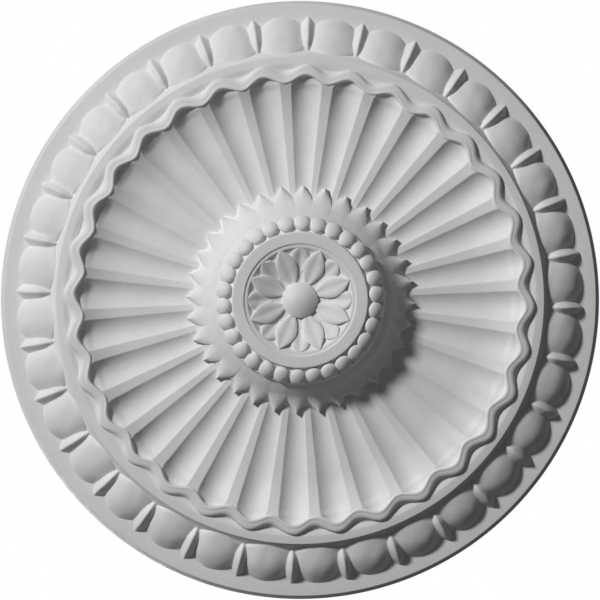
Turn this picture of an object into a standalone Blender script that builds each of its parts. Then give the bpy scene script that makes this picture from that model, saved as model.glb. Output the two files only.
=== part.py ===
"""A round ceiling rose, one casting in hard white foam, primed: a fluted bowl round a raised boss with a flower.

The relief is worked face up, in metres above the flat back, and then turned over: the rose hangs face down,
its back against the ceiling at height zero. Radii are a running sum of the widths of its mouldings.
"""

import math

import bmesh
import bpy
import numpy as np

# Widths of the mouldings, from the centre outwards
DOME_RADIUS = 0.0170
FIELD_WIDTH = 0.0350
INNER_FILLET_WIDTH = 0.0037
FLAT_RING_WIDTH = 0.0104
BEAD_CHANNEL_WIDTH = 0.0160
LEDGE_WIDTH = 0.0008
COLLAR_RUN = 0.0196
BOWL_WIDTH = 0.1117
RIBBON_WIDTH = 0.0064
SCALLOP_DEPTH = 0.0109
BAND_WIDTH = 0.0095
RIDGE_WALL_RUN = 0.0036
STRING_WIDTH = 0.0388
FASCIA_WIDTH = 0.0109
SHOULDER_RUN = 0.0037
EDGE_RUN = 0.0020

# Heights above the flat back
EDGE_HEIGHT = 0.0080
FASCIA_OUTER_HEIGHT = 0.0110
FASCIA_INNER_HEIGHT = 0.0121
STRING_TOP_HEIGHT = 0.0344
RIDGE_HEIGHT = 0.0390
BAND_HEIGHT = 0.0400
GROOVE_HEIGHT = 0.0395
RIBBON_CREST_HEIGHT = 0.0453
RIBBON_TROUGH_HEIGHT = 0.0483
BOWL_LOW_HEIGHT = 0.0370
COLLAR_TOP_HEIGHT = 0.0657
BEAD_CHANNEL_HEIGHT = 0.0662
FLAT_RING_HEIGHT = 0.0800
INNER_FILLET_HEIGHT = 0.0785
FIELD_RIM_HEIGHT = 0.0735
FIELD_LOW_HEIGHT = 0.0690
DOME_RISE = 0.0063

# The fluted bowl: channels that narrow towards the centre, with a flat fillet between each two
FLUTE_COUNT = 32
FLUTE_HALF_ANGLE = math.radians(4.15)
FLUTE_DEPTH_TO_WIDTH = 0.30
FLUTE_END_SETBACK = 0.0030
FLUTE_END_SWELL = 0.0090
FLUTE_FOOT_CLEARANCE = 0.0025
FLUTE_FOOT_SWING = 0.0080
BOWL_LOW_FROM_COLLAR = 0.0685
BOWL_OUTER_RISE = 0.0091
BOWL_INNER_RISE = 0.0062
BOWL_RISE_POWER = 2.2

# The scalloped ribbon, wavy in plan and in height
RIBBON_TOP_FALL = 0.0024
RIBBON_INNER_SWING = 0.0089
GROOVE_FROM_TROUGH = 0.0084
GROOVE_SWING = 0.0047

# The string of barrels and reels on the rim: an ovolo, whose fall follows three powers of the way outwards
OVOLO_FALL = (0.374, 0.310, 0.316)
OVOLO_RING_SHARES = (0.77, 0.53, 0.26, 0.0)
REEL_HALF_ANGLE = math.radians(1.55)
BARREL_QUARTER_ANGLE = math.radians(3.6)
BARREL_END_INSET = 0.0030
BARREL_FOOT_SETBACK = 0.0060
REEL_PROUD = 0.0003

# The collar of leaves round the boss
LEAF_OVERHANG = 0.0100
LEAF_VALLEY_DROP = 0.0176
LEAF_RIB_HEIGHT = 0.0008
LEAF_THICKNESS = 0.0030
LEAF_EDGE_THINNING = 0.6
LEAF_SIDE_FULLNESS = 0.45
LEAF_CROWN_PLACE = 0.5

# The ring of beads
BEAD_COUNT = 30
BEAD_DIAMETER = 0.0152
BEAD_NECK_SHARE = 0.2
BEAD_ROOT = 0.0010
BEAD_CENTRE_RISE = 0.0058
BEAD_PHASE = math.radians(6.1)

# The flower
PETAL_COUNT = 8
FRONT_PETAL_PHASE = math.radians(23.8)
FRONT_PETAL_START = 0.0137
FRONT_PETAL_WIDEST_FROM_RIM = 0.0196
FRONT_PETAL_HALF_WIDTH = 0.0096
FRONT_PETAL_RISE = 0.0056
FRONT_PETAL_GROOVE = 0.0012
BACK_PETAL_PHASE = math.radians(1.7)
BACK_PETAL_HALF_WIDTH = 0.0080
BACK_PETAL_START = 0.0300
BACK_PETAL_WIDEST_FROM_RIM = 0.0070
BACK_PETAL_RISE = 0.0040
BACK_PETAL_GROOVE = 0.0006
PETAL_CLEAR_OF_RIM = 0.0010
PETAL_ROOT = 0.0030
PETAL_RISE_AT_START = 0.25
PETAL_WIDTH_SHARES = (0.45, 0.85, 1.0, 0.68, 0.04)

# How finely the round shapes are cut into faces
BOSS_STEPS = 32
DOME_RING_SHARES = (0.40, 0.75)
BEAD_TURNS = np.radians([-38.0, 22.0, 90.0, 158.0, 218.0])
BEAD_COLUMNS = np.array([-0.2, 0.2, 0.5])
FLUTE_RING_SHARES = (0.84, 0.52, 0.22)
BOSS_ROOT = 0.0080
PLASTER_WHITE = (0.82, 0.82, 0.81, 1.0)
PLASTER_ROUGHNESS = 0.62

# Radii, each from the one inside it
FIELD_RADIUS = DOME_RADIUS + FIELD_WIDTH
FILLET_RADIUS = FIELD_RADIUS + INNER_FILLET_WIDTH
RING_RADIUS = FILLET_RADIUS + FLAT_RING_WIDTH
CHANNEL_RADIUS = RING_RADIUS + BEAD_CHANNEL_WIDTH
COLLAR_TOP_RADIUS = CHANNEL_RADIUS + LEDGE_WIDTH
COLLAR_FOOT_RADIUS = COLLAR_TOP_RADIUS + COLLAR_RUN
BOWL_RADIUS = COLLAR_FOOT_RADIUS + BOWL_WIDTH
SCALLOP_TROUGH_RADIUS = BOWL_RADIUS + RIBBON_WIDTH
BAND_INNER_RADIUS = SCALLOP_TROUGH_RADIUS + SCALLOP_DEPTH
BAND_RADIUS = BAND_INNER_RADIUS + BAND_WIDTH
RIDGE_FOOT_RADIUS = BAND_RADIUS + RIDGE_WALL_RUN
FASCIA_RADIUS = RIDGE_FOOT_RADIUS + STRING_WIDTH
SHOULDER_RADIUS = FASCIA_RADIUS + FASCIA_WIDTH
EDGE_RADIUS = SHOULDER_RADIUS + SHOULDER_RUN
OUTER_RADIUS = EDGE_RADIUS + EDGE_RUN
BEAD_RING_RADIUS = (RING_RADIUS + CHANNEL_RADIUS) / 2
BOWL_LOW_RADIUS = COLLAR_FOOT_RADIUS + BOWL_LOW_FROM_COLLAR
LEAF_TIP_RADIUS = COLLAR_FOOT_RADIUS + LEAF_OVERHANG
LEAF_VALLEY_RADIUS = COLLAR_TOP_RADIUS + LEAF_VALLEY_DROP
FLUTE_PITCH = 2 * math.pi / FLUTE_COUNT

# Columns of points in each flute's share of the circle, as angles from its middle
EVEN = FLUTE_PITCH * np.array([-0.4, -0.2, 0.0, 0.2, 0.4])
ON_FLUTE = FLUTE_HALF_ANGLE * np.array([-1.0, -0.53, 0.0, 0.53, 1.0])
ON_SCALLOP = FLUTE_PITCH * np.array([-0.44, -0.24, 0.0, 0.24, 0.44])
ON_STRING = np.array([-BARREL_QUARTER_ANGLE, -REEL_HALF_ANGLE, 0.0, REEL_HALF_ANGLE, BARREL_QUARTER_ANGLE])
ON_LEAF = FLUTE_PITCH * np.array([-0.42, -0.20, 0.0, 0.20, 0.42])


def clear_scene():
    for obj in list(bpy.data.objects):
        bpy.data.objects.remove(obj)


def new_collection(name):
    collection = bpy.data.collections.new(name)
    bpy.context.scene.collection.children.link(collection)
    return collection


def plaster_material():
    material = bpy.data.materials.new("primed_white")
    material.use_nodes = True
    shader = material.node_tree.nodes["Principled BSDF"]
    shader.inputs["Base Color"].default_value = PLASTER_WHITE
    shader.inputs["Roughness"].default_value = PLASTER_ROUGHNESS
    shader.inputs["Metallic"].default_value = 0.0
    return material


def loft_mesh(name, rings, endless=False):
    """A closed solid through a row of rings of equally many points: flat caps at its ends, or end joined to end."""
    work = bmesh.new()
    rows = [[work.verts.new(point) for point in ring] for ring in rings]
    following = rows[1:] + rows[:1] if endless else rows[1:]
    for near, far in zip(rows, following):
        for i in range(len(near)):
            j = (i + 1) % len(near)
            work.faces.new((near[i], near[j], far[j], far[i]))
    if not endless:
        work.faces.new(rows[0])
        work.faces.new(rows[-1])
    bmesh.ops.recalc_face_normals(work, faces=work.faces)
    mesh = bpy.data.meshes.new(name)
    work.to_mesh(mesh)
    work.free()
    mesh.shade_smooth()
    return mesh


def repeated_ring(count, angles, radii, heights):
    """Points round the axis: one pattern of angles, radii and heights, repeated count times."""
    turns = 2 * math.pi * np.arange(count)[:, None] / count + angles
    radii = np.broadcast_to(radii, turns.shape)
    heights = np.broadcast_to(heights, turns.shape)
    points = np.stack([radii * np.cos(turns), radii * np.sin(turns), heights], axis=-1)
    return points.reshape(-1, 3).tolist()


def bowl_height(radii):
    """Height of the fillets between the flutes: lowest part way out, rising gently inwards and more outwards."""
    inwards = np.maximum(BOWL_LOW_RADIUS - radii, 0.0) / BOWL_LOW_FROM_COLLAR
    outwards = np.maximum(radii - BOWL_LOW_RADIUS, 0.0) / (BOWL_RADIUS - BOWL_LOW_RADIUS)
    return BOWL_LOW_HEIGHT + BOWL_INNER_RISE * inwards**2 + BOWL_OUTER_RISE * outwards**BOWL_RISE_POWER


def fluted_height(angles, radii):
    """The bowl with its flutes sunk: an arc across each, as deep in the middle as its width allows."""
    depth = FLUTE_DEPTH_TO_WIDTH * radii * math.sin(FLUTE_HALF_ANGLE)
    return bowl_height(radii) - depth * np.maximum(1.0 - (angles / FLUTE_HALF_ANGLE) ** 2, 0.0)


def cone_height(radii):
    """The cone of the boss under its leaves, from the foot in the bowl up to the smooth band."""
    share = (COLLAR_FOOT_RADIUS - radii) / COLLAR_RUN
    foot = bowl_height(COLLAR_FOOT_RADIUS)
    return foot + (COLLAR_TOP_HEIGHT - foot) * share


def edge_and_fascia_rings():
    """Plain turned rings: the steep edge, its sloped shoulder and the flat outer border."""
    profile = [
        (OUTER_RADIUS, 0.0),
        (EDGE_RADIUS, EDGE_HEIGHT),
        (SHOULDER_RADIUS, FASCIA_OUTER_HEIGHT),
    ]
    return [repeated_ring(FLUTE_COUNT, EVEN, radius, height) for radius, height in profile]


def string_rings():
    """The string: an ovolo that swells in barrels and falls away to their ends, with a roof-shaped reel between."""
    from_barrel = (FLUTE_PITCH / 2 - np.abs(ON_STRING)) / (FLUTE_PITCH / 2 - REEL_HALF_ANGLE)
    inset = np.where(ON_STRING == 0.0, -REEL_PROUD, BARREL_END_INSET * from_barrel**2)
    setback = np.where(ON_STRING == 0.0, -REEL_PROUD, BARREL_FOOT_SETBACK * from_barrel**2)
    rings = [repeated_ring(FLUTE_COUNT, ON_STRING, FASCIA_RADIUS - setback, FASCIA_INNER_HEIGHT)]
    rise = STRING_TOP_HEIGHT - FASCIA_INNER_HEIGHT
    linear, square, cube = OVOLO_FALL
    for share in OVOLO_RING_SHARES:
        fall = rise * (linear * share + square * share**2 + cube * share**3)
        steepness = rise / STRING_WIDTH * (linear + 2 * square * share + 3 * cube * share**2)
        lowered = inset * math.sqrt(1.0 + steepness**2)
        radius = RIDGE_FOOT_RADIUS + STRING_WIDTH * share
        rings.append(repeated_ring(FLUTE_COUNT, ON_STRING, radius, STRING_TOP_HEIGHT - fall - lowered))
    return rings


def band_and_ribbon_rings():
    """The ridge and its smooth band, then the ribbon: its wavy outer wall, its top that falls outwards, its rim."""
    swell = (1.0 + np.cos(ON_SCALLOP * FLUTE_COUNT)) / 2
    rim_height = RIBBON_TROUGH_HEIGHT + (RIBBON_CREST_HEIGHT - RIBBON_TROUGH_HEIGHT) * swell
    groove_radius = SCALLOP_TROUGH_RADIUS + GROOVE_FROM_TROUGH + GROOVE_SWING * swell
    groove_height = GROOVE_HEIGHT + (BAND_HEIGHT - GROOVE_HEIGHT) * swell
    outer = SCALLOP_TROUGH_RADIUS + SCALLOP_DEPTH * swell
    return [
        repeated_ring(FLUTE_COUNT, EVEN, BAND_RADIUS, RIDGE_HEIGHT),
        repeated_ring(FLUTE_COUNT, ON_SCALLOP, groove_radius, groove_height),
        repeated_ring(FLUTE_COUNT, ON_SCALLOP, outer, rim_height - RIBBON_TOP_FALL),
        repeated_ring(FLUTE_COUNT, ON_SCALLOP, BOWL_RADIUS + RIBBON_INNER_SWING * swell, rim_height),
    ]


def flute_rings():
    """The flutes, from their round outer ends under the ribbon to the foot of the leaves."""
    round_end = np.cos(ON_FLUTE / FLUTE_HALF_ANGLE * math.pi / 2)
    end = BOWL_RADIUS - FLUTE_END_SETBACK + FLUTE_END_SWELL * round_end
    foot = LEAF_TIP_RADIUS + FLUTE_FOOT_CLEARANCE - FLUTE_FOOT_SWING * np.abs(ON_FLUTE) / FLUTE_HALF_ANGLE
    span = end.min() - LEAF_TIP_RADIUS
    rings = [repeated_ring(FLUTE_COUNT, ON_FLUTE, end, fluted_height(ON_FLUTE, BOWL_RADIUS))]
    for share in FLUTE_RING_SHARES:
        radius = LEAF_TIP_RADIUS + span * share
        rings.append(repeated_ring(FLUTE_COUNT, ON_FLUTE, radius, fluted_height(ON_FLUTE, radius)))
    rings.append(repeated_ring(FLUTE_COUNT, ON_FLUTE, foot, fluted_height(ON_FLUTE, foot)))
    return rings


def leaf_rings():
    """Pointed leaves on the cone, one over each flute: their edge, a step up, and a rib that fades at the top."""
    share = np.abs(ON_LEAF) / (FLUTE_PITCH / 2)
    length = LEAF_TIP_RADIUS - LEAF_VALLEY_RADIUS
    side = share * (1.0 - LEAF_SIDE_FULLNESS) + LEAF_SIDE_FULLNESS * share**3
    edge = LEAF_TIP_RADIUS - length * side
    ground = np.maximum(cone_height(edge), fluted_height(ON_LEAF, edge))
    middle = COLLAR_TOP_RADIUS + (edge - COLLAR_TOP_RADIUS) * LEAF_CROWN_PLACE
    thickness = LEAF_THICKNESS * (1.0 - LEAF_EDGE_THINNING * share)
    rib = LEAF_RIB_HEIGHT * (1.0 - share)
    return [
        repeated_ring(FLUTE_COUNT, ON_LEAF, edge, ground),
        repeated_ring(FLUTE_COUNT, ON_LEAF, edge, ground + thickness),
        repeated_ring(FLUTE_COUNT, ON_LEAF, middle, cone_height(middle) + thickness + rib),
        repeated_ring(FLUTE_COUNT, EVEN, COLLAR_TOP_RADIUS, COLLAR_TOP_HEIGHT),
    ]


def carved_disc(collection):
    """Everything outside the boss's head, as one loft from the back's rim over the face to the top of the collar."""
    rings = edge_and_fascia_rings() + string_rings() + band_and_ribbon_rings() + flute_rings() + leaf_rings()
    disc = bpy.data.objects.new("ceiling_rose", loft_mesh("ceiling_rose", rings))
    collection.objects.link(disc)
    return disc


def as_operand(obj):
    obj.hide_render = True
    obj.display_type = "WIRE"


def ring_of_copies(name, mesh, count, phase, collection):
    """Equal copies round the axis, each swung to its own angle."""
    for k in range(count):
        copy = bpy.data.objects.new(f"{name}_{k + 1}", mesh)
        collection.objects.link(copy)
        copy.rotation_euler = (0.0, 0.0, phase + 2 * math.pi * k / count)
        as_operand(copy)


def boss_head(collection):
    """The head of the boss, turned: bead channel, flat ring, fillet, the flower's ground and its domed heart."""
    profile = [(0.0, FIELD_LOW_HEIGHT + DOME_RISE)]
    for share in DOME_RING_SHARES:
        profile.append((DOME_RADIUS * share, FIELD_LOW_HEIGHT + DOME_RISE * (1.0 - share**2)))
    profile += [
        (DOME_RADIUS, FIELD_LOW_HEIGHT),
        (FIELD_RADIUS, FIELD_RIM_HEIGHT),
        (FIELD_RADIUS, INNER_FILLET_HEIGHT),
        (FILLET_RADIUS, INNER_FILLET_HEIGHT),
        (FILLET_RADIUS, FLAT_RING_HEIGHT),
        (RING_RADIUS, FLAT_RING_HEIGHT),
        (RING_RADIUS, BEAD_CHANNEL_HEIGHT),
        (CHANNEL_RADIUS, BEAD_CHANNEL_HEIGHT),
        (CHANNEL_RADIUS, COLLAR_TOP_HEIGHT - BOSS_ROOT),
        (0.0, COLLAR_TOP_HEIGHT - BOSS_ROOT),
    ]
    mesh = bpy.data.meshes.new("boss_head")
    points = [(radius, 0.0, height) for radius, height in profile]
    mesh.from_pydata(points, [(i, i + 1) for i in range(len(points) - 1)], [])
    head = bpy.data.objects.new("boss_head", mesh)
    collection.objects.link(head)
    screw = head.modifiers.new("turn", "SCREW")
    screw.steps = BOSS_STEPS
    screw.render_steps = BOSS_STEPS
    screw.use_merge_vertices = True
    screw.merge_threshold = 0.00001
    as_operand(head)


def bead_ring(collection):
    """Round beads, each just touching the next, as one knotted hoop in the channel outside the flat ring."""
    radius = BEAD_DIAMETER / 2
    neck = BEAD_NECK_SHARE * radius
    angles = 2 * math.pi / BEAD_COUNT * BEAD_COLUMNS
    girth = np.sqrt(np.maximum(radius**2 - (BEAD_RING_RADIUS * np.sin(angles)) ** 2, neck**2))
    rings = []
    for turn in BEAD_TURNS:
        radii = BEAD_RING_RADIUS + girth * math.cos(turn)
        heights = BEAD_CHANNEL_HEIGHT + BEAD_CENTRE_RISE + girth * math.sin(turn)
        rings.append(repeated_ring(BEAD_COUNT, angles + BEAD_PHASE, radii, heights))
    foot_height = BEAD_CHANNEL_HEIGHT - BEAD_ROOT
    rings.append(repeated_ring(BEAD_COUNT, angles + BEAD_PHASE, BEAD_RING_RADIUS, foot_height))
    beads = bpy.data.objects.new("bead_ring", loft_mesh("bead_ring", rings, endless=True))
    collection.objects.link(beads)
    as_operand(beads)


def field_height(radius):
    """Height of the dished ground behind the flower."""
    share = (radius - DOME_RADIUS) / FIELD_WIDTH
    return FIELD_LOW_HEIGHT + (FIELD_RIM_HEIGHT - FIELD_LOW_HEIGHT) * share


def petal_mesh(name, start, widest, half_width, rise, groove):
    """A petal from its start to its pointed tip, widest part way, with a groove down its middle."""
    tip = FIELD_RADIUS - PETAL_CLEAR_OF_RIM
    radii = [start, (start + widest) / 2, widest, (widest + tip) / 2, tip]
    sections = []
    for radius, share in zip(radii, PETAL_WIDTH_SHARES):
        across = half_width * share
        ground = field_height(radius)
        outwards = (radius - start) / (tip - start)
        top = ground + rise * (PETAL_RISE_AT_START + (1.0 - PETAL_RISE_AT_START) * outwards)
        sections.append([
            (radius, -across, top),
            (radius, 0.0, top - groove * share),
            (radius, across, top),
            (radius, across, ground - PETAL_ROOT),
            (radius, -across, ground - PETAL_ROOT),
        ])
    return loft_mesh(name, sections)


def flower(collection):
    """Eight lance-shaped petals that rise outwards, over eight wider petals that show between them."""
    front = petal_mesh(
        "front_petal",
        FRONT_PETAL_START,
        FIELD_RADIUS - FRONT_PETAL_WIDEST_FROM_RIM,
        FRONT_PETAL_HALF_WIDTH,
        FRONT_PETAL_RISE,
        FRONT_PETAL_GROOVE,
    )
    back = petal_mesh(
        "back_petal",
        BACK_PETAL_START,
        FIELD_RADIUS - BACK_PETAL_WIDEST_FROM_RIM,
        BACK_PETAL_HALF_WIDTH,
        BACK_PETAL_RISE,
        BACK_PETAL_GROOVE,
    )
    ring_of_copies("front_petal", front, PETAL_COUNT, FRONT_PETAL_PHASE, collection)
    ring_of_copies("back_petal", back, PETAL_COUNT, BACK_PETAL_PHASE, collection)


def turn_face_down():
    """Hangs the rose and all that carves it on one empty, turned over so that the flat back looks up."""
    fixing = bpy.data.objects.new("ceiling_fixing", None)
    bpy.context.scene.collection.objects.link(fixing)
    for obj in bpy.data.objects:
        if obj != fixing:
            obj.parent = fixing
    fixing.rotation_euler = (0.0, math.pi, 0.0)


def build_rose():
    clear_scene()
    rose = carved_disc(new_collection("ceiling_rose"))
    relief = new_collection("boss_relief")
    boss_head(relief)
    bead_ring(relief)
    flower(relief)
    union = rose.modifiers.new("boss", "BOOLEAN")
    union.operation = "UNION"
    union.operand_type = "COLLECTION"
    union.collection = relief
    union.solver = "EXACT"
    rose.data.materials.append(plaster_material())
    turn_face_down()


build_rose()
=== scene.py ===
import math

import bpy
import numpy as np
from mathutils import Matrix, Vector


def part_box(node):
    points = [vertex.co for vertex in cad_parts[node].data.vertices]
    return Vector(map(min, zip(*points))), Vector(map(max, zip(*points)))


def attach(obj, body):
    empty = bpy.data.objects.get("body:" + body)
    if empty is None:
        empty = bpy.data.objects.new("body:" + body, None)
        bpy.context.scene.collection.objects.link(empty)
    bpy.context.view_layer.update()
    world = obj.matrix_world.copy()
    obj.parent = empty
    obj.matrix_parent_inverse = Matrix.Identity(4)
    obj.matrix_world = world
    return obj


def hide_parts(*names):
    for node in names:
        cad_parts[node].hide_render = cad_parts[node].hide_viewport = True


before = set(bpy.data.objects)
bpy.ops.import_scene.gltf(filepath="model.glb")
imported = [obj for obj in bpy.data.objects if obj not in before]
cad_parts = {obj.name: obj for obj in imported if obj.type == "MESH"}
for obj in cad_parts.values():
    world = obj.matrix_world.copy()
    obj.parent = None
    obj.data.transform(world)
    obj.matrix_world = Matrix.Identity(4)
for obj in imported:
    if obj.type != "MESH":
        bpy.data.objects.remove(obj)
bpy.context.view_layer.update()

# The solid body of the casting
# One pour of hard white foam: the flat back, the steep edge, the plain outer border, the ground under the
# string of barrels, and the ridge with its smooth band. The rest of the face is cast as one with it.
MM = 0.001
low_corner, high_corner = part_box("ceiling_rose")
RIM_RADIUS = (high_corner[0] - low_corner[0]) / 2 / MM
FACE_HEIGHT = (high_corner[2] - low_corner[2]) / MM
FLUTES = 32
PITCH = 2 * math.pi / FLUTES
WHITE = (0.82, 0.82, 0.812, 1.0)
RIPPLE_WAVES = 8
DRIFT_WAVES = 4
CREASE_ANGLE = math.radians(50)


def mould_ripple(points, size, wave, seed):
    """Hand-smoothed waviness: each coordinate in turn is moved by eight sine waves, each a quarter of size
    high, that run in seeded directions with wavelengths between one and two times wave."""
    draw = np.random.default_rng(seed)
    moved = points.copy()
    for axis in range(3):
        for _ in range(RIPPLE_WAVES):
            direction = draw.normal(size=3)
            direction *= 2 * math.pi / (wave * draw.uniform(1.0, 2.0) * np.linalg.norm(direction))
            moved[..., axis] += size / 4 * np.sin(points @ direction + draw.uniform(0.0, 2 * math.pi))
    return moved


def round_drift(angles, size, seed):
    """A slow wander round the circle, as a hand-cut master has: four seeded sine waves of 2 to 11 turns."""
    draw = np.random.default_rng(seed)
    drift = np.zeros_like(angles)
    for turns in draw.integers(2, 12, DRIFT_WAVES):
        drift += size / 2 * np.sin(turns * angles + draw.uniform(0.0, 2 * math.pi))
    return drift


def soft_profile(corners, spacing):
    """The line through corners of (x, y, rounding): a corner with a rounding becomes a curve that touches
    both its sides, and the straight stretches between are cut into steps no longer than spacing."""
    corners = np.asarray(corners, float)
    points = [corners[0, :2]]
    for i in range(1, len(corners)):
        here, rounding = corners[i, :2], corners[i, 2]
        before = here - points[-1]
        reach = np.linalg.norm(before)
        if i == len(corners) - 1 or rounding <= 0.0:
            arc = [here]
        else:
            after = corners[i + 1, :2] - here
            arrive, leave = before / reach, after / np.linalg.norm(after)
            bend = math.acos(np.clip(arrive @ leave, -1.0, 1.0))
            cut = min(rounding * math.tan(bend / 2), 0.48 * reach, 0.48 * np.linalg.norm(after))
            steps = max(3, int(math.degrees(bend) / 12))
            share = np.linspace(0.0, 1.0, steps + 1)[:, None]
            start, end = here - arrive * cut, here + leave * cut
            arc = (1 - share) ** 2 * start + 2 * share * (1 - share) * here + share**2 * end
        run = np.linalg.norm(arc[0] - points[-1])
        count = max(1, int(math.ceil(run / spacing)))
        straight = points[-1] + (arc[0] - points[-1]) * (np.arange(1, count)[:, None] / count)
        points.extend(straight)
        points.extend(arc)
    return np.array(points)


def on_the_rose(radii, angles, heights):
    """From radius, angle and height above the back, in millimetres and radians, to the hanging rose: the face
    looks down, and the angle runs counter-clockwise as seen from below."""
    radii, angles, heights = np.broadcast_arrays(radii, angles, heights)
    return np.stack([-radii * np.cos(angles), radii * np.sin(angles), -heights], axis=-1)


def cast_piece(name, grid, material, poles, ripple=0.10, wave=22.0, seed=1):
    """A closed skin over a grid of points (copies, rows, columns, xyz) in millimetres. Columns run round and
    close. Rows end in a point at each end where poles is true, or else the last row joins the first. The skin
    is turned to face outwards by the sign of its volume."""
    copies, rows, columns, _ = grid.shape
    grid = mould_ripple(grid, ripple, wave, seed)
    index = np.arange(rows * columns).reshape(rows, columns)
    near = index[:-1] if poles else index
    far = index[1:] if poles else np.roll(index, -1, axis=0)
    quads = np.stack([near, np.roll(near, -1, 1), np.roll(far, -1, 1), far], -1).reshape(-1, 4)
    points = grid.reshape(copies, rows * columns, 3)
    fans = np.zeros((0, 3), int)
    if poles:
        ends = np.stack([grid[:, 0].mean(axis=1), grid[:, -1].mean(axis=1)], axis=1)
        points = np.concatenate([points, ends], axis=1)
        first, last = index[0], index[-1]
        start = np.full(columns, rows * columns)
        fans = np.concatenate([
            np.stack([start, np.roll(first, -1), first], -1),
            np.stack([start + 1, last, np.roll(last, -1)], -1),
        ])
    sample = points[0] - points[0].mean(axis=0)
    halves = np.concatenate([quads[:, [0, 1, 2]], quads[:, [0, 2, 3]], fans])
    if np.linalg.det(sample[halves]).sum() < 0:
        quads, fans = quads[:, ::-1], fans[:, ::-1]
    shift = np.arange(copies)[:, None, None] * points.shape[1]
    quads = (quads[None] + shift).reshape(-1, 4)
    fans = (fans[None] + shift).reshape(-1, 3)
    mesh = bpy.data.meshes.new(name)
    mesh.vertices.add(points.shape[0] * points.shape[1])
    mesh.vertices.foreach_set("co", (points * MM).astype(np.float32).ravel())
    loops = np.concatenate([quads.ravel(), fans.ravel()]).astype(np.int32)
    mesh.loops.add(len(loops))
    mesh.loops.foreach_set("vertex_index", loops)
    starts = np.concatenate([np.arange(len(quads)) * 4, len(quads) * 4 + np.arange(len(fans)) * 3])
    mesh.polygons.add(len(starts))
    mesh.polygons.foreach_set("loop_start", starts.astype(np.int32))
    mesh.update(calc_edges=True)
    mesh.validate()
    mesh.shade_smooth()
    mesh.set_sharp_from_angle(angle=CREASE_ANGLE)
    piece = bpy.data.objects.new(name, mesh)
    bpy.context.scene.collection.objects.link(piece)
    mesh.materials.append(material)
    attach(piece, "root")
    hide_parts("ceiling_rose")


def primed_skin_group():
    """Factory primer on cast foam, as one shader group: a faint cloudy tone, sparse pinholes where bubbles
    broke, with painted shade darkening the colour in their pits, and a height of fine spray grain, sanding
    lows and the pinholes' pits."""
    group = bpy.data.node_groups.new("primed_skin", "ShaderNodeTree")
    for name, kind, value in (
        ("Tone", "NodeSocketColor", WHITE),
        ("Clouding", "NodeSocketFloat", 0.03),
        ("Pinhole_pits_and_painted_shade", "NodeSocketFloat", 0.5),
        ("Grain", "NodeSocketFloat", 1.0),
    ):
        group.interface.new_socket(name=name, in_out="INPUT", socket_type=kind).default_value = value
    group.interface.new_socket(name="Color", in_out="OUTPUT", socket_type="NodeSocketColor")
    group.interface.new_socket(name="Roughness", in_out="OUTPUT", socket_type="NodeSocketFloat")
    group.interface.new_socket(name="Height", in_out="OUTPUT", socket_type="NodeSocketFloat")
    nodes, links = group.nodes, group.links
    given, out = nodes.new("NodeGroupInput"), nodes.new("NodeGroupOutput")
    place = nodes.new("ShaderNodeTexCoord").outputs["Object"]

    def noise(scale, detail):
        node = nodes.new("ShaderNodeTexNoise")
        node.inputs["Scale"].default_value = scale
        node.inputs["Detail"].default_value = detail
        links.new(place, node.inputs["Vector"])
        return node.outputs["Fac"]

    def math_node(kind, first, second):
        node = nodes.new("ShaderNodeMath")
        node.operation = kind
        for socket, value in zip(node.inputs, (first, second)):
            if isinstance(value, float):
                socket.default_value = value
            else:
                links.new(value, socket)
        return node.outputs["Value"]

    def span(value, low, high, to_low, to_high):
        node = nodes.new("ShaderNodeMapRange")
        links.new(value, node.inputs["Value"])
        for name, number in zip(("From Min", "From Max", "To Min", "To Max"), (low, high, to_low, to_high)):
            node.inputs[name].default_value = number
        return node.outputs["Result"]

    bubbles_per_metre, bubbly_patches = 210.0, 60.0
    clouds_per_metre, fine_clouds_per_metre = 26.0, 190.0
    sanding_per_metre, grain_per_metre, sheen_per_metre = 150.0, 1400.0, 120.0
    # The pinholes' darker tone is painted shade in their pits.
    grain_share, sanding_share, pit_share, pinhole_painted_shade = 0.06, 0.35, 0.5, 0.45
    cells = nodes.new("ShaderNodeTexVoronoi")
    cells.inputs["Scale"].default_value = bubbles_per_metre
    links.new(place, cells.inputs["Vector"])
    spot = span(cells.outputs["Distance"], 0.10, 0.17, 1.0, 0.0)
    bubbly = span(noise(bubbly_patches, 2.0), 0.56, 0.64, 0.0, 1.0)
    # The pinhole mask sinks the pits in the height and paints shade into them in the colour.
    pinhole_pits_and_painted_shade = math_node("MULTIPLY", math_node("MULTIPLY", spot, bubbly), given.outputs["Pinhole_pits_and_painted_shade"])
    cloud = span(noise(clouds_per_metre, 4.0), 0.25, 0.75, -1.0, 1.0)
    fine_cloud = span(noise(fine_clouds_per_metre, 3.0), 0.25, 0.75, -0.5, 0.5)
    shade = math_node("MULTIPLY", math_node("ADD", cloud, fine_cloud), given.outputs["Clouding"])
    value = math_node("ADD", shade, 1.0)
    # Painted shade: the colour is darkened where the pinholes' pits are.
    value = math_node("MULTIPLY", value, span(pinhole_pits_and_painted_shade, 0.0, 1.0, 1.0, pinhole_painted_shade))
    tint = nodes.new("ShaderNodeMix")
    tint.data_type = "RGBA"
    tint.blend_type = "MULTIPLY"
    tint.inputs[0].default_value = 1.0
    links.new(given.outputs["Tone"], tint.inputs[6])
    links.new(value, tint.inputs[7])
    links.new(tint.outputs[2], out.inputs["Color"])
    links.new(span(noise(sheen_per_metre, 3.0), 0.3, 0.7, 0.56, 0.70), out.inputs["Roughness"])
    grain = math_node("MULTIPLY", noise(grain_per_metre, 2.0), grain_share)
    lows = math_node("MULTIPLY", noise(sanding_per_metre, 3.0), sanding_share)
    skin = math_node("MULTIPLY", math_node("ADD", grain, lows), given.outputs["Grain"])
    links.new(math_node("SUBTRACT", skin, math_node("MULTIPLY", pinhole_pits_and_painted_shade, pit_share)), out.inputs["Height"])
    return group


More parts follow.
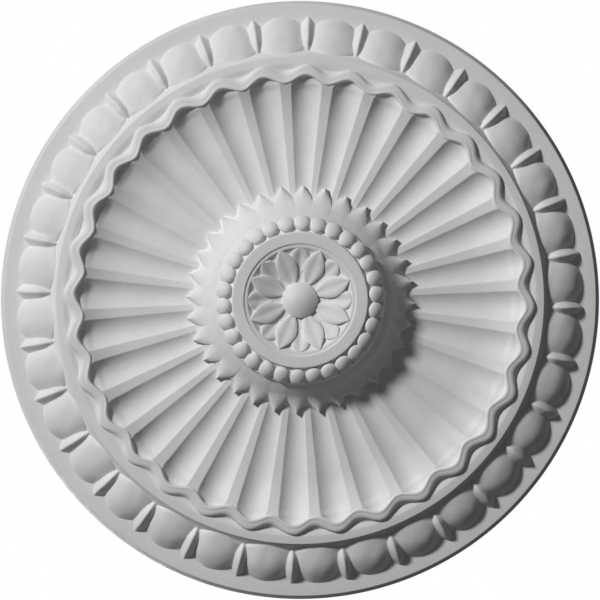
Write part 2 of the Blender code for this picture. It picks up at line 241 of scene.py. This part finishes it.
PRIMED_SKIN = primed_skin_group()
PRIMER_SPECULAR = 0.30
RELIEF_STRENGTH = 0.6
RELIEF_HEIGHT = 0.0006
# How strongly pinholes show: their pits in the height, and the painted shade in them in the colour.
PINHOLE_PITS_AND_PAINTED_SHADE = 0.3


def primed(name, clouding, grain):
    """A part of the primed casting: the skin group's colour and roughness, and its height through a Bump."""
    material = bpy.data.materials.new(name)
    material.use_nodes = True
    nodes, links = material.node_tree.nodes, material.node_tree.links
    shader = nodes["Principled BSDF"]
    shader.inputs["Specular IOR Level"].default_value = PRIMER_SPECULAR
    skin = nodes.new("ShaderNodeGroup")
    skin.node_tree = PRIMED_SKIN
    skin.inputs["Tone"].default_value = WHITE
    skin.inputs["Clouding"].default_value = clouding
    # Pinholes: pits in the height, with painted shade in the colour.
    skin.inputs["Pinhole_pits_and_painted_shade"].default_value = PINHOLE_PITS_AND_PAINTED_SHADE
    skin.inputs["Grain"].default_value = grain
    relief = nodes.new("ShaderNodeBump")
    relief.inputs["Strength"].default_value = RELIEF_STRENGTH
    relief.inputs["Distance"].default_value = RELIEF_HEIGHT
    links.new(skin.outputs["Color"], shader.inputs["Base Color"])
    links.new(skin.outputs["Roughness"], shader.inputs["Roughness"])
    links.new(skin.outputs["Height"], relief.inputs["Height"])
    links.new(relief.outputs["Normal"], shader.inputs["Normal"])
    return material


HIDDEN = 12.0
NEAR_AXIS = 0.01
BACK_LIP = 1.2
EDGE_TOP = (295.5, 11.2)
BORDER_INNER = (283.8, 12.1)
GROUND_MIDDLE = (274.0, 13.2)
RIDGE_FOOT = (247.2, 28.0)
RIDGE_TOP = (241.0, 39.0)
BAND_CREST = (233.2, 40.0)
BAND_INNER = (228.6, 39.2)
BAND_UNDER_RIBBON = (226.0, 37.0)
INNER_WALL = 220.0
BODY_STEP = 14.0
BODY_DRIFT = 0.25
BODY_STEPS_ROUND = 1024
body_line = soft_profile([
    (NEAR_AXIS, 0.0, 0.0),
    (RIM_RADIUS, 0.0, 0.6),
    (RIM_RADIUS - 0.2, BACK_LIP, 1.5),
    (*EDGE_TOP, 1.3),
    (*BORDER_INNER, 0.0),
    (*GROUND_MIDDLE, 0.0),
    (*RIDGE_FOOT, 0.0),
    (*RIDGE_TOP, 0.9),
    (*BAND_CREST, 4.0),
    (*BAND_INNER, 0.6),
    (*BAND_UNDER_RIBBON, 0.0),
    (INNER_WALL, HIDDEN, 0.0),
    (NEAR_AXIS, HIDDEN, 0.0),
], BODY_STEP)
body_turn = np.linspace(0.0, 2 * math.pi, BODY_STEPS_ROUND, endpoint=False)
above_back = body_line[:, 1:2] > 2.0
body_height = body_line[:, 1:2] + round_drift(body_turn, BODY_DRIFT, 3)[None] * above_back
cast_piece(
    "body", on_the_rose(body_line[:, 0:1], body_turn[None], body_height)[None],
    primed("primed_body", 0.03, 1.0), poles=True, ripple=0.0,
)


# The string of barrels and reels
# An ovolo cut into thirty-two swelling barrels, with a roof-shaped reel between each two. They were modelled
# one by one in the mould, so no two are quite alike. They are cast as one with the body.
OVOLO_TOP = (244.6, 33.4)
OVOLO_WIDTH = 38.3
OVOLO_RISE = 21.4
OVOLO_EVEN_FALL = 0.36
OVOLO_POWER = 3.5
BARREL_HALF = 19.0
BARREL_INSET = 3.3
BARREL_ROUNDING = 2.4
BARREL_TAPER = 0.07
BARREL_INNER_FALL = 3.2
BARREL_INNER_RUN = 6.0
REEL_PROUD = 0.8
REEL_SLOPE = 0.95
REEL_DIP = 3.2
REEL_DIP_FROM = 262.0
REEL_DIP_RUN = 11.0
REEL_HALF_ANGLE = math.radians(1.75)
BARREL_WANDER = 0.30
BARREL_VARIETY = 0.05
REEL_WANDER = 0.25
REEL_VARIETY = 0.18
STRING_INNER = OVOLO_TOP[0] - 2.5
STRING_OUTER = 286.0
STRING_LOWEST = 9.0
STRING_FOOT = 6.0


def ovolo(radii):
    """Height and steepness of the ovolo: part of its fall is even on the way outwards, and the rest follows
    a power of the way."""
    share = np.clip((radii - OVOLO_TOP[0]) / OVOLO_WIDTH, 0.0, 1.1)
    bent = 1 - OVOLO_EVEN_FALL
    height = OVOLO_TOP[1] - OVOLO_RISE * (OVOLO_EVEN_FALL * share + bent * share**OVOLO_POWER)
    steepness = OVOLO_EVEN_FALL + bent * OVOLO_POWER * share ** (OVOLO_POWER - 1)
    steepness = steepness * OVOLO_RISE / OVOLO_WIDTH
    return height, steepness


def string_height(radii, angles):
    """The higher of two forms. A barrel is the ovolo, sunk and narrowed by a power of the distance from its
    middle, and sunk further near the ridge. A reel is a roof on the ovolo that falls evenly from its softened
    crest and dips towards the ridge."""
    draw = np.random.default_rng(11)
    barrel_place = draw.normal(0.0, BARREL_WANDER, FLUTES)
    barrel_size = 1 + draw.normal(0.0, BARREL_VARIETY, FLUTES)
    reel_place = draw.normal(0.0, REEL_WANDER, FLUTES)
    reel_lift = draw.normal(0.0, REEL_VARIETY, FLUTES)
    level, steepness = ovolo(radii)
    barrel = np.floor(angles / PITCH).astype(int)
    from_barrel = (angles - (barrel + 0.5) * PITCH) * radii - barrel_place[barrel % FLUTES]
    towards_end = np.abs(from_barrel / BARREL_HALF) ** BARREL_ROUNDING
    widened = (radii - OVOLO_TOP[0]) / (1 - BARREL_TAPER * towards_end)
    tapered, steepness_there = ovolo(OVOLO_TOP[0] + widened)
    near_ridge = np.clip(1 - (radii - OVOLO_TOP[0]) / BARREL_INNER_RUN, 0.0, 1.2)
    tapered = tapered - BARREL_INNER_FALL * towards_end * near_ridge**2
    sunk = BARREL_INSET * np.sqrt(1 + steepness_there**2) * towards_end
    barrels = tapered - sunk * barrel_size[barrel % FLUTES]
    reel = np.round(angles / PITCH).astype(int)
    from_reel = (angles - reel * PITCH) * radii - reel_place[reel % FLUTES]
    dip = REEL_DIP * (np.maximum(REEL_DIP_FROM - radii, 0.0) / REEL_DIP_RUN) ** 2
    roof = REEL_SLOPE * np.sqrt(1 + steepness**2) * (np.sqrt(from_reel**2 + 1.0) - 1.0)
    reels = level + REEL_PROUD + reel_lift[reel % FLUTES] - dip - roof
    return np.maximum(barrels, reels)


reel_columns = REEL_HALF_ANGLE * np.linspace(-1.0, 1.0, 20)
barrel_columns = PITCH / 2 + (PITCH / 2 - REEL_HALF_ANGLE) * np.linspace(-1.0, 1.0, 26)[1:-1]
string_columns = np.concatenate([reel_columns, barrel_columns])
string_turn = (PITCH * np.arange(FLUTES)[:, None] + string_columns).ravel()
string_radii = np.linspace(STRING_INNER, STRING_OUTER, 52)[:, None]
string_top = np.maximum(string_height(string_radii, string_turn[None]), STRING_LOWEST)
string_grid = np.concatenate([
    on_the_rose(string_radii, string_turn[None], string_top),
    on_the_rose(np.array([[STRING_OUTER], [STRING_INNER]]), string_turn[None], STRING_FOOT),
])
cast_piece(
    "barrels_and_reels", string_grid[None], primed("primed_string", 0.035, 1.2),
    poles=False, ripple=0.16, wave=11.0, seed=12,
)


# The scalloped ribbon
# A sinuous band that frames the bowl, cast with it and swung outwards over the flutes' ends. Its rim is
# rolled, its top has a faint crease, and its outer wall drops into a groove against the smooth band.
RIM_TROUGH = (213.6, 45.7)
RIM_CREST = (221.8, 45.4)
EDGE_TROUGH = 221.6
EDGE_CREST = 231.0
RIM_ROLL = ((-1.6, -9.0), (-0.7, -2.6), (-0.2, -1.0), (0.4, -0.3), (1.2, 0.0))
TOP_SHARES = (0.15, 0.32, 0.45, 0.58, 0.75, 0.9)
TOP_END = 0.8
RIBBON_TOP_FALL = 1.5
RIBBON_TOP_POWER = 1.3
RIBBON_CREASE = 0.35
CREASE_AT = 0.45
CREASE_WIDTH = 0.12
WALL_CURVE = ((0.0, 0.02), (0.17, 0.10), (0.4, 0.32), (0.65, 0.66), (0.85, 0.92), (1.0, 1.0))
WALL_TOP_DROP = 0.25
WALL_FOOT_DROP = 0.3
WALL_RUN_TROUGH = 4.6
WALL_RUN_CREST = 2.4
GROOVE_TROUGH = (230.6, 39.2)
GROOVE_CREST = (233.9, 39.5)
RIM_DRIFT = 0.2
RIBBON_DRIFT = 0.3
RIBBON_STEPS = 48


def between(trough, crest, swell):
    """From the value in the troughs to the value on the crests, by the swell of 0 to 1."""
    return trough + (crest - trough) * swell


def sway(angles):
    """0 in the troughs over the fillets and 1 on the crests over the flutes: a raised cosine."""
    return (1 + np.cos(angles * FLUTES)) / 2


ribbon_turn = np.linspace(0.0, 2 * math.pi, FLUTES * RIBBON_STEPS, endpoint=False)
swell = sway(ribbon_turn)
rim = between(RIM_TROUGH[0], RIM_CREST[0], swell)
rim_height = between(RIM_TROUGH[1], RIM_CREST[1], swell) + round_drift(ribbon_turn, RIM_DRIFT, 22)
edge = between(EDGE_TROUGH, EDGE_CREST, swell) + round_drift(ribbon_turn, RIBBON_DRIFT, 21)
groove = between(GROOVE_TROUGH[0], GROOVE_CREST[0], swell)
groove_height = between(GROOVE_TROUGH[1], GROOVE_CREST[1], swell)
ribbon_rows = [(rim + outwards, rim_height + upwards) for outwards, upwards in RIM_ROLL]
top_start = rim + RIM_ROLL[-1][0]
for share in TOP_SHARES:
    across = top_start * (1 - share) + (edge - TOP_END) * share
    crease = RIBBON_CREASE * math.exp(-(((share - CREASE_AT) / CREASE_WIDTH) ** 2))
    ribbon_rows.append((across, rim_height - RIBBON_TOP_FALL * share**RIBBON_TOP_POWER - crease))
wall_top = rim_height - RIBBON_TOP_FALL - WALL_TOP_DROP
foot_height = groove_height - WALL_FOOT_DROP
wall_run = between(WALL_RUN_TROUGH, WALL_RUN_CREST, swell)
for share, drop in WALL_CURVE:
    ribbon_rows.append((edge + wall_run * share, wall_top + (foot_height - wall_top) * drop))
ribbon_rows.append((groove, groove_height))
ribbon_rows.append((groove + 0.4, groove_height - 4.0))
ribbon_rows.append((groove - 2.0, np.full_like(rim, HIDDEN)))
ribbon_rows.append((rim + 1.0, np.full_like(rim, HIDDEN)))
ribbon_grid = np.stack([on_the_rose(radius, ribbon_turn, height) for radius, height in ribbon_rows])
cast_piece(
    "scalloped_ribbon", ribbon_grid[None], primed("primed_ribbon", 0.03, 1.0),
    poles=False, ripple=0.16, wave=14.0, seed=23,
)


# The fluted bowl
# A shallow dish, cast with the body, that is lowest a little past half way out. Thirty-two channels are sunk
# in it, with a sharp edge along each side and a fillet between each two, and they end under the ribbon's
# crests.
BOWL_LOW = 35.2
BOWL_LOW_RADIUS = 171.0
BOWL_INNER = 94.0
BOWL_INNER_RUN = 68.5
BOWL_INNER_RISE = 5.4
BOWL_OUTER_RISE = 8.9
BOWL_OUTER_POWER = 2.2
FLUTE_HALF = math.radians(4.15)
FLUTE_DEPTH = 0.30
FLUTE_DEEPER = 0.50
FLUTE_DEEPER_FROM = 172.0
FLUTE_END = 208.0
FLUTE_END_RUN = 17.5
BOWL_UNDER_RIM = 0.5
BOWL_FINE_FROM = 0.86


def bowl_height(radii):
    """Height of the fillets: the low, plus a square law inwards and a power of the way outwards."""
    inwards = np.maximum(BOWL_LOW_RADIUS - radii, 0.0) / BOWL_INNER_RUN
    outwards = np.maximum(radii - BOWL_LOW_RADIUS, 0.0) / (RIM_TROUGH[0] - BOWL_LOW_RADIUS)
    return BOWL_LOW + BOWL_INNER_RISE * inwards**2 + BOWL_OUTER_RISE * outwards**BOWL_OUTER_POWER


def fluted_height(radii, angles):
    """The bowl less its flutes: across each, an arc as deep as FLUTE_DEPTH of its half width and up to half
    as deep again at its outer end, and past FLUTE_END a hollow that closes on half an ellipse."""
    inside = (angles + PITCH / 2) % PITCH - PITCH / 2
    across = inside / FLUTE_HALF
    past = np.maximum(radii - FLUTE_END, 0.0) / FLUTE_END_RUN
    depth = FLUTE_DEPTH * math.sin(FLUTE_HALF) * np.minimum(radii, FLUTE_END)
    outer_part = np.clip((radii - FLUTE_DEEPER_FROM) / (FLUTE_END - FLUTE_DEEPER_FROM), 0.0, 1.0)
    depth = depth * (1 + FLUTE_DEEPER * outer_part)
    hollow = depth * np.maximum(1.0 - across**2 - past**2, 0.0)
    return bowl_height(np.minimum(radii, RIM_TROUGH[0])) - hollow


flute_columns = np.linspace(-0.5, 0.5, 60, endpoint=False)
bowl_turn = (PITCH * (np.arange(FLUTES)[:, None] + flute_columns)).ravel()
bowl_outer = between(RIM_TROUGH[0], RIM_CREST[0], sway(bowl_turn)) + BOWL_UNDER_RIM
wide_steps = np.linspace(0.0, BOWL_FINE_FROM, 34, endpoint=False)
fine_steps = np.linspace(BOWL_FINE_FROM, 1.0, 14)
bowl_share = np.concatenate([wide_steps, fine_steps])[:, None]
bowl_radii = BOWL_INNER + (bowl_outer[None] - BOWL_INNER) * bowl_share
bowl_grid = np.concatenate([
    on_the_rose(bowl_radii, bowl_turn[None], fluted_height(bowl_radii, bowl_turn[None])),
    on_the_rose(bowl_outer, bowl_turn, HIDDEN)[None],
    on_the_rose(BOWL_INNER, bowl_turn, HIDDEN)[None],
])
cast_piece(
    "fluted_bowl", bowl_grid[None], primed("primed_bowl", 0.035, 1.0),
    poles=False, ripple=0.10, wave=26.0, seed=31,
)


# The head of the boss
# A turned form in the same pour: a cone that spreads into the bowl, the sloping channel for the beads, the
# broad flat ring, a narrow fillet inside it, and the dished ground that the flower stands on.
BOSS_STEP = 2.5
BOSS_STEPS_ROUND = 512
CONE_TOP = (82.9, 65.7)
CONE_FOOT = (105.0, 40.3)
CONE_BELOW = ((110.5, 37.4), (112.5, 30.0))
LEDGE = (82.3, 66.4)
CHANNEL_OUTER = (81.6, 70.0)
CHANNEL_INNER = (67.0, 75.4)
RING_OUTER = 66.2
RING_INNER = 54.9
RING_HEIGHT = FACE_HEIGHT - 0.2
FILLET_OUTER = (54.3, 78.8)
FILLET_INNER = (51.0, 78.5)
DISH_WALL_FOOT = (47.4, 75.0)
DISH_FLOOR = ((0.01, 68.6), (20.0, 69.0), (33.0, 70.6))
boss_line = soft_profile([
    (*DISH_FLOOR[0], 0.0),
    (*DISH_FLOOR[1], 0.0),
    (*DISH_FLOOR[2], 6.0),
    (*DISH_WALL_FOOT, 5.0),
    (*FILLET_INNER, 0.7),
    (*FILLET_OUTER, 0.4),
    (RING_INNER, RING_HEIGHT, 0.3),
    (RING_OUTER, RING_HEIGHT - 0.1, 1.5),
    (*CHANNEL_INNER, 0.5),
    (*CHANNEL_OUTER, 0.8),
    (*LEDGE, 0.4),
    (*CONE_TOP, 0.7),
    (*CONE_FOOT, 6.0),
    (*CONE_BELOW[0], 0.0),
    (*CONE_BELOW[1], 0.0),
    (NEAR_AXIS, CONE_BELOW[1][1], 0.0),
], BOSS_STEP)
boss_turn = np.linspace(0.0, 2 * math.pi, BOSS_STEPS_ROUND, endpoint=False)
cast_piece(
    "boss_head", on_the_rose(boss_line[:, 0:1], boss_turn[None], boss_line[:, 1:2])[None],
    primed("primed_boss", 0.03, 1.0), poles=True, ripple=0.08, wave=18.0, seed=41,
)


# The collar of leaves
# Thirty-two pointed leaves round the cone, one over each flute, in the same pour. Each is full in the middle
# with a faint rib, lies flatter towards its tip, and ends a little clear of the flute.
LEAF_ROOT = (85.0, 63.6)
LEAF_TIP_RADIUS = 112.8
LEAF_DROP = 29.8
LEAF_STEEPNESS = 1.13
LEAF_FLATTENING = 0.44
LEAF_VALLEY_RADIUS = 97.6
LEAF_POINT = 1.12
LEAF_EDGE = 0.8
LEAF_SWELL = 1.9
LEAF_THINNEST = 0.3
LEAF_SUNK = 4.0
RIB_HEIGHT = 0.06
RIB_WIDTH = 0.13
NARROWEST = 0.05
LEAF_TURN_WANDER = 0.002
LEAF_REACH_WANDER = 0.35
leaf_rows = np.linspace(0.0, 1.0, 32)
leaf_around = np.linspace(0.0, 2 * math.pi, 36, endpoint=False)
leaf_radius = LEAF_ROOT[0] + (LEAF_TIP_RADIUS - LEAF_ROOT[0]) * leaf_rows
valley = (LEAF_VALLEY_RADIUS - LEAF_ROOT[0]) / (LEAF_TIP_RADIUS - LEAF_ROOT[0])
narrowing = np.clip((leaf_rows - valley) / (1 - valley), 0.0, 1.0)
leaf_half = np.tan(PITCH / 2) * leaf_radius * (1.0 - narrowing**LEAF_POINT) + NARROWEST
leaf_crest = LEAF_ROOT[1] - LEAF_DROP * (LEAF_STEEPNESS * leaf_rows - LEAF_FLATTENING * leaf_rows**2)
cone_slope = (CONE_TOP[1] - CONE_FOOT[1]) / (CONE_FOOT[0] - CONE_TOP[0])
cone = CONE_TOP[1] - cone_slope * (leaf_radius - CONE_TOP[0])
ground = np.maximum(cone, bowl_height(leaf_radius)) + LEAF_EDGE * np.minimum(1.0, 6 * leaf_rows)
leaf_side = np.cos(leaf_around)
upper = np.sin(leaf_around) >= 0
fullness = 1 - leaf_side**2 + RIB_HEIGHT * np.exp(-((leaf_side / RIB_WIDTH) ** 2))
leaf_edge = np.maximum(ground, leaf_crest - LEAF_SWELL)
full = leaf_edge[:, None] + np.maximum(leaf_crest - leaf_edge, LEAF_THINNEST)[:, None] * fullness[None]
leaf_height = np.where(upper[None], full, ground[:, None] - LEAF_SUNK)
draw = np.random.default_rng(51)
leaf_turn = PITCH * np.arange(FLUTES) + draw.normal(0.0, LEAF_TURN_WANDER, FLUTES)
leaf_reach = draw.normal(0.0, LEAF_REACH_WANDER, FLUTES)[:, None, None] * leaf_rows[None, :, None]
leaf_grid = on_the_rose(
    leaf_radius[None, :, None] + leaf_reach,
    leaf_turn[:, None, None] + (leaf_half[:, None] * leaf_side[None] / leaf_radius[:, None])[None],
    leaf_height[None],
)
cast_piece(
    "leaf_collar", leaf_grid, primed("primed_leaves", 0.035, 1.1),
    poles=True, ripple=0.12, wave=9.0, seed=52,
)


# The ring of beads
# Thirty flattened beads, each running a little into the next, in the same pour. They lean outwards on the
# sloping channel between the flat ring and the cone's edge, so their tops lie close to the ring.
BEADS = 30
BEAD_RING = 74.9
BEAD_RADIUS = 7.85
BEAD_WIDTH_SHARE = 1.08
BEAD_FLATNESS = 0.74
BEAD_LEAN = 0.43
BEAD_HEIGHT = 72.5
BEAD_PHASE = math.radians(6.1)
BEAD_TURN_WANDER = 0.003
BEAD_SIZE_VARIETY = 0.012
BEAD_RING_WANDER = 0.15
BEAD_POLE = 0.03
bead_rows = np.linspace(BEAD_POLE, math.pi - BEAD_POLE, 24)
bead_around = np.linspace(0.0, 2 * math.pi, 32, endpoint=False)
draw = np.random.default_rng(61)
bead_turn = BEAD_PHASE + 2 * math.pi * np.arange(BEADS) / BEADS + draw.normal(0.0, BEAD_TURN_WANDER, BEADS)
bead_size = BEAD_RADIUS * (1 + draw.normal(0.0, BEAD_SIZE_VARIETY, BEADS))[:, None, None]
bead_centre = BEAD_RING + draw.normal(0.0, BEAD_RING_WANDER, BEADS)[:, None, None]
bead_out = bead_centre + bead_size * np.sin(bead_rows)[None, :, None] * np.cos(bead_around)
bead_side = BEAD_WIDTH_SHARE * bead_size * np.sin(bead_rows)[None, :, None] * np.sin(bead_around)
bead_up = BEAD_HEIGHT + BEAD_FLATNESS * bead_size * np.cos(bead_rows)[None, :, None]
bead_up = bead_up - BEAD_LEAN * (bead_out - bead_centre)
bead_angle = bead_turn[:, None, None] + np.arctan2(bead_side, bead_out)
cast_piece(
    "bead_ring", on_the_rose(np.hypot(bead_out, bead_side), bead_angle, bead_up),
    primed("primed_beads", 0.03, 1.0), poles=True, ripple=0.10, wave=8.0, seed=62,
)


# The flower
# Eight lance-shaped petals, hollowed down the middle, that rise like a cup from a domed heart, in the same
# pour. Eight blunter petals lie behind them and show in the gaps.
PETALS = 8
PETAL_SWELL = 1.1
PETAL_EDGE_POWER = 5
PETAL_SUNK = 4.0
PETAL_WANDER = 0.006
GROOVE_WIDTH = 0.42
GROOVE_FADE = 0.7


def petals(name, phase, start, tip, half_width, widest, height_in, height_out, groove, sharp, seed):
    """Closed leaf-shaped skins: the width follows a skewed sine, raised to the power sharp, that is fullest
    at widest, the middle is pressed in by groove, and the surface climbs from height_in to height_out by the
    mean of an even climb and one that is steepest half way."""
    rows = np.linspace(0.0, 1.0, 34)
    around = np.linspace(0.0, 2 * math.pi, 44, endpoint=False)
    radius = start + (tip - start) * rows
    skew = rows ** (math.log(0.5) / math.log(widest))
    half = half_width * np.sin(math.pi * np.clip(skew, 0.0, 1.0)) ** sharp + NARROWEST
    side = np.cos(around)
    climb = 0.5 * rows + 0.5 * rows**2 * (3 - 2 * rows)
    middle = height_in + (height_out - height_in) * climb
    fading = np.sin(math.pi * rows)[:, None] ** GROOVE_FADE
    press = groove * np.exp(-((side / GROOVE_WIDTH) ** 2))[None] * fading
    rounding = PETAL_SWELL * (1 - np.abs(side) ** PETAL_EDGE_POWER)[None]
    height = middle[:, None] + np.where(np.sin(around) >= 0, rounding - press, -PETAL_SUNK)
    draw = np.random.default_rng(seed)
    turn = phase + 2 * math.pi * np.arange(PETALS) / PETALS + draw.normal(0.0, PETAL_WANDER, PETALS)
    across = half[:, None] * side[None]
    grid = on_the_rose(
        np.hypot(radius[:, None], across)[None],
        turn[:, None, None] + np.arctan2(across, radius[:, None])[None],
        height[None],
    )
    cast_piece(name, grid, primed(f"primed_{name}", 0.03, 1.0), poles=True, ripple=0.12, wave=8.0, seed=seed)


petals(
    "back_petals", phase=math.radians(1.7), start=26.0, tip=50.4, half_width=8.8, widest=0.66,
    height_in=69.2, height_out=77.4, groove=1.5, sharp=0.42, seed=71,
)
petals(
    "front_petals", phase=math.radians(23.8), start=13.0, tip=51.6, half_width=9.9, widest=0.54,
    height_in=69.2, height_out=78.4, groove=0.8, sharp=0.78, seed=72,
)
HEART_RADIUS = 17.4
HEART_FOOT = 71.7
HEART_RISE = 6.3
HEART_SIDE = 0.4
HEART_SUNK = 6.0
heart_share = np.concatenate([np.linspace(0.01, 0.96, 24), [0.985, 1.0, 1.0, 0.9]])
heart_height = HEART_FOOT + HEART_RISE * (1 - heart_share**2)
heart_height[-3:] = (HEART_FOOT - HEART_SIDE, HEART_FOOT - HEART_SUNK, HEART_FOOT - HEART_SUNK)
heart_around = np.linspace(0.0, 2 * math.pi, 72, endpoint=False)
cast_piece(
    "flower_heart",
    on_the_rose(HEART_RADIUS * heart_share[:, None], heart_around[None], heart_height[:, None])[None],
    primed("primed_heart", 0.03, 1.0), poles=True, ripple=0.12, wave=12.0, seed=73,
)


# The studio
# A pale floor well below and plain white beyond it. One soft key comes from the upper left of the picture, a
# soft light above shows the back and the edge, and the open room adds a little. The camera looks straight up.
CAMERA_DISTANCE = 2.5
FOCUS_HEIGHT = 0.0015
PICTURE_ROLL = math.radians(-1.7)
FRAME_SHARE = 299.23 / 300.0
KEY_AZIMUTH = math.radians(143.5)
KEY_ELEVATION = math.radians(38.7)
KEY_DISTANCE = 14.0
KEY_WIDTH = 1.9
KEY_POWER = 1525.0
TOP_PLACE = (1.2, -1.4, 2.6)
TOP_WIDTH = 1.6
TOP_POWER = 70.0
ROOM_LIGHT = 0.065
FLOOR_HEIGHT = -4.1
FLOOR_HALF = 30.0
FLOOR_TONE = (0.82, 0.82, 0.81, 1.0)
FLOOR_GLOW = 0.72

floor_mesh = bpy.data.meshes.new("floor")
floor_signs = ((-1, -1), (1, -1), (1, 1), (-1, 1))
floor_corners = [(x * FLOOR_HALF, y * FLOOR_HALF, FLOOR_HEIGHT) for x, y in floor_signs]
floor_mesh.from_pydata(floor_corners, [], [(0, 1, 2, 3)])
floor_paint = bpy.data.materials.new("floor")
floor_paint.use_nodes = True
floor_shader = floor_paint.node_tree.nodes["Principled BSDF"]
floor_shader.inputs["Base Color"].default_value = FLOOR_TONE
floor_shader.inputs["Roughness"].default_value = 0.9
floor_shader.inputs["Emission Color"].default_value = FLOOR_TONE
floor_shader.inputs["Emission Strength"].default_value = FLOOR_GLOW
floor_mesh.materials.append(floor_paint)
floor = bpy.data.objects.new("floor", floor_mesh)
floor.visible_diffuse = False
floor.visible_glossy = False
floor.visible_shadow = False
bpy.context.scene.collection.objects.link(floor)


def in_picture(azimuth, elevation, distance):
    """A place seen from below: azimuth counter-clockwise from the picture's right, elevation out of the
    picture's plane towards the camera."""
    angle = azimuth - PICTURE_ROLL
    reach = distance * math.cos(elevation)
    return Vector((-reach * math.cos(angle), reach * math.sin(angle), -distance * math.sin(elevation)))


def soft_light(name, place, target, width, power):
    """A round soft box of the given width, turned to the target."""
    light = bpy.data.lights.new(name, "AREA")
    light.shape = "DISK"
    light.size = width
    light.energy = power
    lamp = bpy.data.objects.new(name, light)
    lamp.location = place
    lamp.rotation_euler = (target - place).to_track_quat("-Z", "Y").to_euler()
    bpy.context.scene.collection.objects.link(lamp)


face_centre = Vector((0.0, 0.0, -FACE_HEIGHT * MM / 2))
soft_light("key", in_picture(KEY_AZIMUTH, KEY_ELEVATION, KEY_DISTANCE), face_centre, KEY_WIDTH, KEY_POWER)
soft_light("top_fill", Vector(TOP_PLACE), face_centre, TOP_WIDTH, TOP_POWER)

world = bpy.data.worlds.new("studio")
bpy.context.scene.world = world
world.use_nodes = True
world_nodes = world.node_tree.nodes
world_links = world.node_tree.links
seen_white = world_nodes.new("ShaderNodeBackground")
seen_white.inputs["Color"].default_value = (1.0, 1.0, 1.0, 1.0)
seen_white.inputs["Strength"].default_value = 1.0
room = world_nodes["Background"]
room.inputs["Color"].default_value = (1.0, 1.0, 1.0, 1.0)
room.inputs["Strength"].default_value = ROOM_LIGHT
choice = world_nodes.new("ShaderNodeMixShader")
world_links.new(world_nodes.new("ShaderNodeLightPath").outputs["Is Camera Ray"], choice.inputs["Fac"])
world_links.new(room.outputs["Background"], choice.inputs[1])
world_links.new(seen_white.outputs["Background"], choice.inputs[2])
world_links.new(choice.outputs["Shader"], world_nodes["World Output"].inputs["Surface"])

camera = bpy.data.cameras.new("camera")
camera.sensor_width = 36.0
camera.sensor_fit = "HORIZONTAL"
half_view = RIM_RADIUS * MM / FRAME_SHARE / (CAMERA_DISTANCE - FOCUS_HEIGHT)
camera.lens = camera.sensor_width / 2 / half_view
camera.clip_end = 100.0
eye = bpy.data.objects.new("camera", camera)
eye.location = (0.0, 0.0, -CAMERA_DISTANCE)
eye.rotation_euler = (math.pi, 0.0, math.pi + PICTURE_ROLL)
bpy.context.scene.collection.objects.link(eye)
bpy.context.scene.camera = eye
bpy.context.scene.view_settings.view_transform = "Standard"
